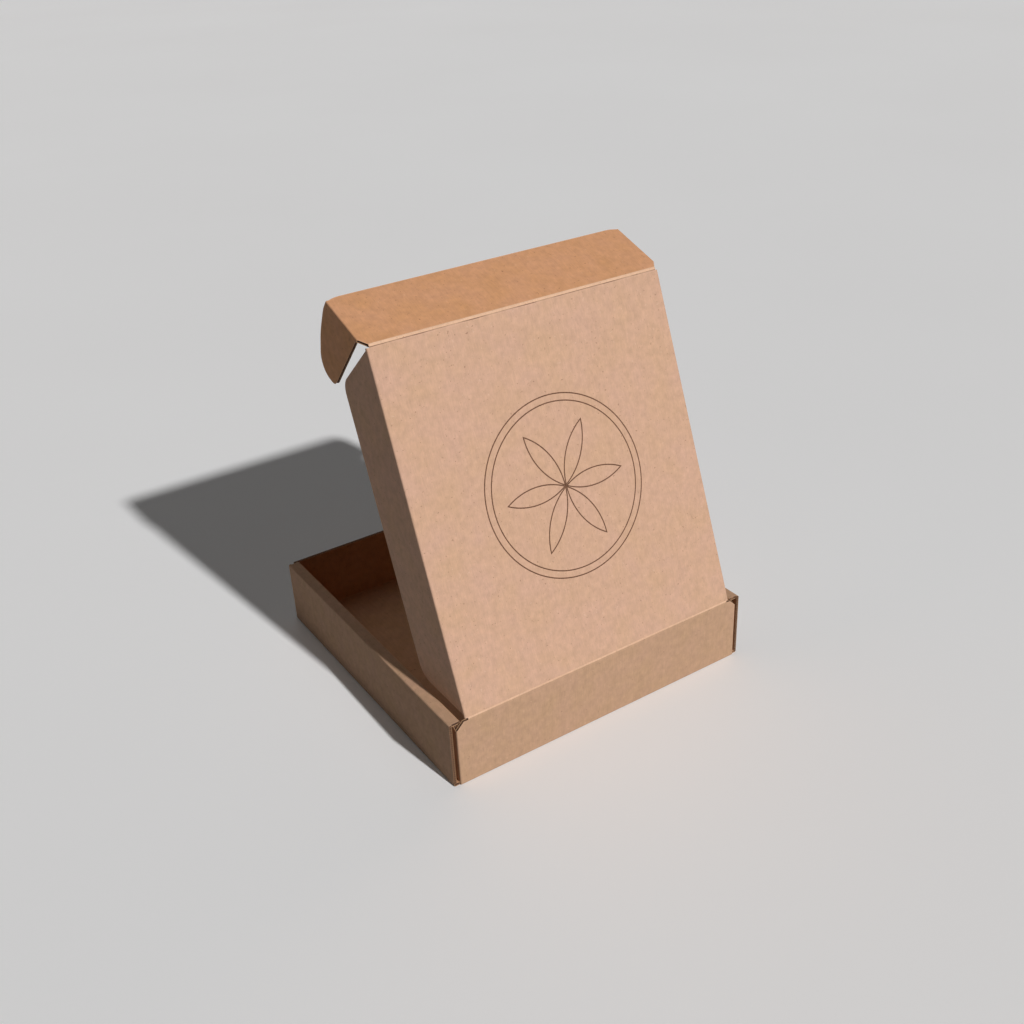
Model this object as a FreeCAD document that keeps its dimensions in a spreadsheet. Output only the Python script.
"""Corrugated mailer box: a roll-end tray, its lid and the lid's tuck flap.

Millimetres. The origin is the centre of the underside, +Z is up, the front wall is at -Y and the
lid's hinge crease is at +Y. The box is one cut and creased sheet of thin corrugated board, folded
up with no glue. It is parted only at the two creases that bend in use: tray to lid, lid to tuck flap.
"""

import FreeCAD, Part
import os
import re
import Sketcher
from FreeCAD import Rotation, Vector

SIZES = {
    "board": 1.1,
    "box_width": 130.0,
    "box_depth": 130.6,
    "wall_height": 26.5,
    # room between the outer side panel and the corner flaps behind it
    "side_gap": 1.2,
    # air between two layers of board that lie on each other
    "layer_gap": 0.15,
    # air beside a flap that moves
    "run_gap": 0.15,
    # air at each bending crease, and under the closed lid
    "hinge_gap": 0.15,
    # between the closed lid's front crease and the front wall, so that the tuck flap can swing in
    "swing_gap": 1.25,
    # between the floor and the flaps that hang from the closed lid
    "flap_lift": 0.4,
    "tuck_lift": 0.1,
    # the side panels stop short of the front and back walls' outer faces
    "panel_setback": 0.8,
    "fold_radius": 0.6,
    "corner_notch": 3.0,
    "corner_flap_length": 44.0,
    "corner_flap_taper": 5.0,
    "corner_flap_radius": 5.0,
    "tab_width": 18.0,
    "tab_offset": 34.0,
    "tab_clearance": 0.25,
    "flap_setback": 1.0,
    "flap_slant_ratio": 0.38,
    "flap_back_radius": 7.0,
    "flap_front_radius": 6.0,
    "ear_start": 3.4,
    "ear_length": 28.6,
    "ear_slant_ratio": 0.43,
    # the ear's outer edge swells past the tuck flap's own edge, half way along
    "ear_swell": 1.8,
    "ear_swell_radius": 30.0,
    "ear_inner_radius": 4.2,
    "ear_outer_radius": 8.2,
    "lid_angle": 69.5,
    "tuck_angle": 50.0,
}

# Sizes that follow from the ones above, as expressions on the sheet's names
SIDE = "(box_width / 2)"
WALL_FOLD = f"({SIDE} - board - side_gap)"
PANEL_MIDDLE = f"({WALL_FOLD} / 2)"
INNER_FACE = f"({WALL_FOLD} - 2 * board - layer_gap)"
EAR_FACE = f"({INNER_FACE} - run_gap)"
FLAP_FACE = f"({EAR_FACE} - board - run_gap)"
HALF_DEPTH = "(box_depth / 2)"
PANEL_HALF = f"({HALF_DEPTH} - panel_setback)"
ROLL_HALF = f"({HALF_DEPTH} - board - layer_gap)"
HINGE_Y = f"({HALF_DEPTH} - board / 2)"
HINGE_Z = "(wall_height + hinge_gap + board / 2)"
LID_LENGTH = "(box_depth - 1.5 * board - swing_gap)"
PLATE_END = "(board / 2 + hinge_gap)"
FLAP_DEPTH = f"({HINGE_Z} + board / 2 - board - flap_lift)"
TUCK_LENGTH = f"({HINGE_Z} - board - tuck_lift)"
# The ear's flat tip, and the share of it that each of its two rounded corners may take
EAR_TIP = f"({TUCK_LENGTH} - ear_start - ear_slant_ratio * ear_length)"
INNER_SHARE = "0.35"
OUTER_SHARE = "0.7"
EAR_INNER = f"min(ear_inner_radius; {INNER_SHARE} * {EAR_TIP})"
EAR_OUTER = f"min(ear_outer_radius; {OUTER_SHARE} * {EAR_TIP})"

# Sketch directions: across is the sketch's x, up is its y, and a plate grows along their normal
FRONT_VIEW = Rotation(Vector(1, 0, 0), 90)
SIDE_VIEW = Rotation(Vector(1, 1, 1), 120)
FLAP_VIEW = Rotation(Vector(0, -1, 0), Vector(0, 0, -1), Vector(1, 0, 0))
LID_VIEW = Rotation(Vector(1, 0, 0), Vector(0, -1, 0), Vector(0, 0, -1))

doc = FreeCAD.newDocument("mailer_box")
sheet = doc.addObject("Spreadsheet::Sheet", "Sizes")
for row, (name, value) in enumerate(SIZES.items(), start=1):
    sheet.set(f"A{row}", name)
    sheet.set(f"B{row}", str(value))
    sheet.setAlias(f"B{row}", name)
doc.recompute()


def on_sheet(text):
    """Turn names of sizes into references to the sheet's cells."""
    return re.sub(r"[a-z_]{3,}", lambda m: f"Sizes.{m[0]}" if m[0] in SIZES else m[0], str(text))


def value(text):
    """Work out an expression from the sheet's present values."""
    return float(sheet.evalExpression(on_sheet(text)))


def bind(feature, **sizes):
    """Tie properties of a feature to the sheet; place=(x, y, z) ties its position."""
    place = sizes.pop("place", None)
    for prop, text in sizes.items():
        feature.setExpression(prop, on_sheet(text))
    for axis, text in zip("xyz", place or ()):
        feature.setExpression(f"Placement.Base.{axis}", on_sheet(text))
    return feature


def block(name, low, high):
    """A flat panel of board between two corners, each an expression per axis."""
    spans = [f"({end}) - ({start})" for start, end in zip(low, high)]
    made = doc.addObject("Part::Box", name)
    return bind(made, Length=spans[0], Width=spans[1], Height=spans[2], place=low)


def plate(name, view, corners, thickness, place):
    """A panel of board with a cut outline: a sketch of straight edges, extruded by its thickness."""
    sketch = doc.addObject("Sketcher::SketchObject", f"{name}_outline")
    sketch.Placement.Rotation = view
    points = [Vector(value(x), value(y), 0) for x, y in corners]
    for start, end in zip(points, points[1:] + points[:1]):
        sketch.addGeometry(Part.LineSegment(start, end), False)
    for i, (x, y) in enumerate(corners):
        before = (i - 1) % len(corners)
        sketch.addConstraint(Sketcher.Constraint("Coincident", before, 2, i, 1))
        for kind, text, size in (("DistanceX", x, points[i].x), ("DistanceY", y, points[i].y)):
            index = sketch.addConstraint(Sketcher.Constraint(kind, -1, 1, i, 1, size))
            sketch.setExpression(f"Constraints[{index}]", on_sheet(text))
    bind(sketch, place=place)
    made = doc.addObject("Part::Extrusion", name)
    made.Base = sketch
    made.DirMode = "Normal"
    made.Solid = True
    return bind(made, LengthFwd=thickness)


def bead(name, end):
    """The rounded board edge that turns on a crease: a rod along X, centred on the crease's axis."""
    made = doc.addObject("Part::Cylinder", name)
    made.Placement.Rotation = Rotation(Vector(0, 1, 0), 90)
    return bind(made, Radius="board / 2", Height=end)


def joined(name, pieces):
    made = doc.addObject("Part::MultiFuse", name)
    made.Shapes = pieces
    made.Refine = True
    return made


def cut(name, base, tool):
    made = doc.addObject("Part::Cut", name)
    made.Base = base
    made.Tool = tool
    return made


def rounded(name, base, edges):
    """Round edges of a piece: each is a point on the edge and a radius, as expressions."""
    doc.recompute()
    made = doc.addObject("Part::Fillet", name)
    made.Base = base
    chosen = []
    for point, radius in edges:
        spot = Part.Vertex(Vector(*(value(p) for p in point)))
        gaps = [edge.distToShape(spot)[0] for edge in base.Shape.Edges]
        nearest = min(range(len(gaps)), key=gaps.__getitem__)
        chosen.append((nearest + 1, value(radius), value(radius)))
    made.Edges = chosen
    return made


def both_sides(name, half):
    """Mirror the half at +X to -X and join the two into one sheet."""
    doc.recompute()
    mirror = doc.addObject("Part::Mirroring", f"{name}_left")
    mirror.Source = half
    mirror.Normal = Vector(1, 0, 0)
    return joined(name, [half, mirror])


def tray():
    """Floor, front and back walls with corner flaps, and side walls rolled over those flaps."""
    floor = block("floor", ("0", f"-{HALF_DEPTH}", "0"), (WALL_FOLD, HALF_DEPTH, "board"))
    margin = block("floor_margin", (WALL_FOLD, f"-{PANEL_HALF}", "0"), (SIDE, PANEL_HALF, "board"))
    outer = block(
        "outer_panel",
        (f"{SIDE} - board", f"-{PANEL_HALF}", "0"),
        (SIDE, PANEL_HALF, "wall_height"),
    )
    rim = block(
        "rim",
        (INNER_FACE, f"-{ROLL_HALF}", "wall_height - board"),
        (SIDE, ROLL_HALF, "wall_height"),
    )
    inner = block(
        "inner_panel",
        (INNER_FACE, f"-{ROLL_HALF}", "board + layer_gap"),
        (f"{INNER_FACE} + board", ROLL_HALF, "wall_height"),
    )
    front = block(
        "front_wall",
        ("0", f"-{HALF_DEPTH}", "0"),
        (WALL_FOLD, f"board - {HALF_DEPTH}", "wall_height"),
    )
    back_outline = [
        ("0", "0"),
        (WALL_FOLD, "0"),
        (WALL_FOLD, "wall_height - corner_notch"),
        (f"{WALL_FOLD} - corner_notch", "wall_height"),
        ("0", "wall_height"),
    ]
    back = plate("back_wall", FRONT_VIEW, back_outline, "board", ("0", HALF_DEPTH, "0"))
    floor = slotted(floor)
    pieces = [floor, margin, outer, rim, inner, front, back, *lock_tabs(), *corner_flaps()]
    folds = [
        ((SIDE, "0", "0"), "fold_radius"),
        ((SIDE, "0", "wall_height"), "fold_radius"),
        ((INNER_FACE, "0", "wall_height"), "fold_radius"),
        ((PANEL_MIDDLE, HALF_DEPTH, "0"), "fold_radius"),
        ((PANEL_MIDDLE, f"-{HALF_DEPTH}", "0"), "fold_radius"),
        ((WALL_FOLD, HALF_DEPTH, "wall_height / 2"), "fold_radius"),
        ((WALL_FOLD, f"-{HALF_DEPTH}", "wall_height / 2"), "fold_radius"),
    ]
    half = rounded("tray_right", joined("tray_layers", pieces), folds)
    return both_sides("tray", half)


def tab_span(side, clearance):
    """Where a lock tab or its slot lies along Y, side being 1 at the back and -1 at the front."""
    low = f"{side} * tab_offset - tab_width / 2 - {clearance}"
    return low, f"{side} * tab_offset + tab_width / 2 + {clearance}"


def slotted(floor):
    """Cut the slots that take the inner side panel's lock tabs."""
    for side in (1, -1):
        low, high = tab_span(side, "tab_clearance")
        slot = block(
            f"slot_{'back' if side > 0 else 'front'}",
            (f"{INNER_FACE} - tab_clearance", low, "-board"),
            (f"{INNER_FACE} + board + tab_clearance", high, "2 * board"),
        )
        floor = cut(f"floor_with_{slot.Name}", floor, slot)
    return floor


def lock_tabs():
    made = []
    for side in (1, -1):
        low, high = tab_span(side, "0")
        name = f"tab_{'back' if side > 0 else 'front'}"
        made.append(block(name, (INNER_FACE, low, "0"), (f"{INNER_FACE} + board", high, "3 * board")))
    return made


def corner_flaps():
    """The front and back walls' end flaps, which stand between the two layers of each side wall."""
    low = "board + layer_gap"
    high = "wall_height - board - layer_gap"
    made = []
    for name, sign in (("back", ""), ("front", "-")):
        fold = f"{sign}{HALF_DEPTH}"
        notch = f"{sign}({HALF_DEPTH} - corner_notch)"
        end = f"{sign}({HALF_DEPTH} - corner_flap_length)"
        tip = [(end, f"{high} - corner_flap_taper"), (end, f"{low} + corner_flap_taper")]
        outline = [(fold, low), (fold, f"{high} - corner_notch"), (notch, high), *tip]
        place = (f"{WALL_FOLD} - board", "0", "0")
        flap = plate(f"{name}_corner_flap", SIDE_VIEW, outline, "board", place)
        corners = [((WALL_FOLD, *corner), "corner_flap_radius") for corner in tip]
        made.append(rounded(f"{name}_corner_flap_rounded", flap, corners))
    return made


def lid():
    """The lid panel with its two side flaps, drawn shut with the hinge axis as its own X axis."""
    panel = block(
        "lid_panel",
        ("0", f"{PLATE_END} - {LID_LENGTH}", "-board / 2"),
        (FLAP_FACE, "0", "board / 2"),
    )
    start, end = "flap_setback", f"{LID_LENGTH} - flap_setback"
    outline = [
        (start, "0"),
        (f"{start} + flap_slant_ratio * {FLAP_DEPTH}", FLAP_DEPTH),
        (f"{end} - flap_slant_ratio * {FLAP_DEPTH}", FLAP_DEPTH),
        (end, "0"),
    ]
    flap = plate("side_flap", FLAP_VIEW, outline, "board", (f"{FLAP_FACE} - board", "0", "board / 2"))
    low = f"board / 2 - {FLAP_DEPTH}"
    corners = [
        ((FLAP_FACE, f"-({outline[1][0]})", low), "flap_back_radius"),
        ((FLAP_FACE, f"-({outline[2][0]})", low), "flap_front_radius"),
    ]
    flap = rounded("side_flap_rounded", flap, corners)
    layers = joined("lid_layers", [panel, bead("hinge_bead", f"{FLAP_FACE} - flap_setback"), flap])
    half = rounded("lid_right", layers, [((FLAP_FACE, "-box_depth / 2", "board / 2"), "fold_radius")])
    return both_sides("lid", half)


def tuck_flap():
    """The tuck flap with its two ears, drawn flat in line with the lid, its crease on its own X axis."""
    outline = [
        ("0", "0"),
        (f"{FLAP_FACE} - flap_setback", "0"),
        (EAR_FACE, "ear_start"),
        (EAR_FACE, TUCK_LENGTH),
        ("0", TUCK_LENGTH),
    ]
    panel = plate("tuck_panel", LID_VIEW, outline, "board", ("0", "0", "board / 2"))
    outline = [
        ("ear_start", "0"),
        ("ear_start + ear_slant_ratio * ear_length", "ear_length"),
        (f"{TUCK_LENGTH} + ear_swell / 3", "ear_length"),
        (f"{TUCK_LENGTH} + ear_swell", "ear_length / 2"),
        (TUCK_LENGTH, "0"),
    ]
    ear = plate("ear", FLAP_VIEW, outline, "board", (f"{EAR_FACE} - board", "0", "board / 2"))
    radii = (EAR_INNER, EAR_OUTER, "ear_swell_radius")
    corners = [
        ((EAR_FACE, f"-({along})", f"board / 2 - {down}"), radius)
        for (along, down), radius in zip(outline[1:], radii)
    ]
    ear = rounded("ear_rounded", ear, corners)
    layers = joined("tuck_layers", [panel, bead("tuck_bead", f"{FLAP_FACE} - flap_setback"), ear])
    half = rounded("tuck_right", layers, [((EAR_FACE, f"-{TUCK_LENGTH} / 2", "board / 2"), "fold_radius")])
    return both_sides("tuck_flap", half)


def turned(feature, angle, height, depth):
    """Place a sub-part by its own X axis: turned about it, then moved to its depth and height."""
    feature.Placement.Rotation = Rotation(Vector(1, 0, 0), value(angle))
    feature.setExpression("Placement.Rotation.Angle", on_sheet(f"({angle}) * 1 deg"))
    return bind(feature, place=("0", depth, height))


def check(parts):
    """Stop if any object failed or any sub-part is not one valid solid."""
    for thing in doc.Objects:
        if {"Invalid", "Error"} & set(thing.State):
            raise RuntimeError(f"{thing.Label} failed: {thing.State}")
    for part in parts:
        shape = part.Shape
        if shape.isNull() or not shape.isValid() or len(shape.Solids) != 1:
            raise RuntimeError(f"{part.Label} is not one valid solid")
        print(f"{part.Label}: {shape.Volume:.1f} mm3, {len(shape.Faces)} faces, {shape.BoundBox}")


parts = [tray(), lid(), tuck_flap()]
turned(parts[1], "-lid_angle", HINGE_Z, HINGE_Y)
turned(
    parts[2],
    "tuck_angle - lid_angle",
    f"{HINGE_Z} + {LID_LENGTH} * sin(lid_angle * 1 deg)",
    f"{HINGE_Y} - {LID_LENGTH} * cos(lid_angle * 1 deg)",
)
doc.recompute()
check(parts)
os.makedirs("parts", exist_ok=True)
for part in parts:
    part.Shape.exportStep(f"parts/{part.Label}.step")
